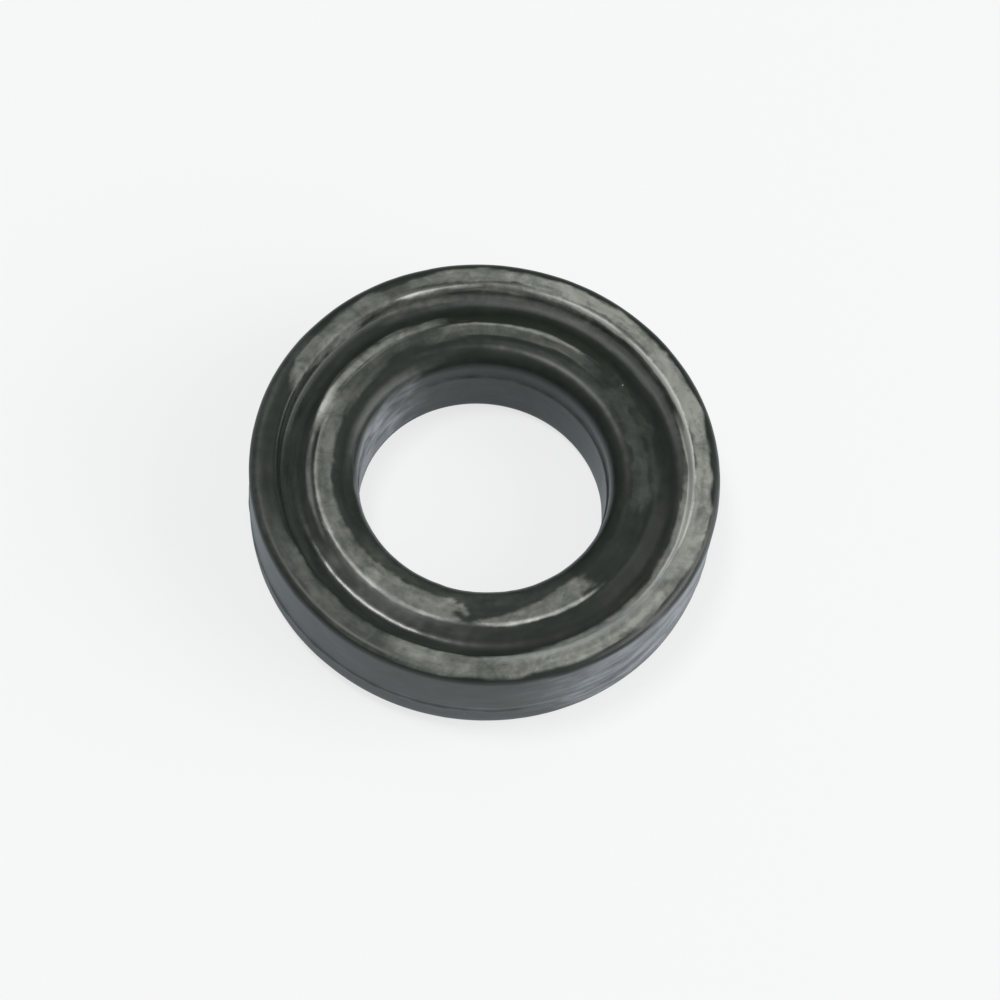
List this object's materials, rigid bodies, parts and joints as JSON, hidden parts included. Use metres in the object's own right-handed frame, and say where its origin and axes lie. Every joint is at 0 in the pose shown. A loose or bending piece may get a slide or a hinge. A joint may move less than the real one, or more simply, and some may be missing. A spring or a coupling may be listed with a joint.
{
  "type": "valve cover bolt seal",
  "caption": "Moulded rubber ring that seals under a valve cover bolt, with a flat rim, a groove and a raised lip round its bore.",
  "frame": {"origin": "centre of the flat sealing face, on the axis of the bore", "axes": "+Z along the bore's axis, from the sealing face up through the profiled top; the ring is round, so X and Y are free"},
  "size_m": [0.0222, 0.0222, 0.0053],
  "materials": {
    "rubber": "moulded black rubber, satin, with a thin grey bloom"
  },
  "bodies": {
    "root": {"seal_ring": "rubber"}
  },
  "joints": []
}
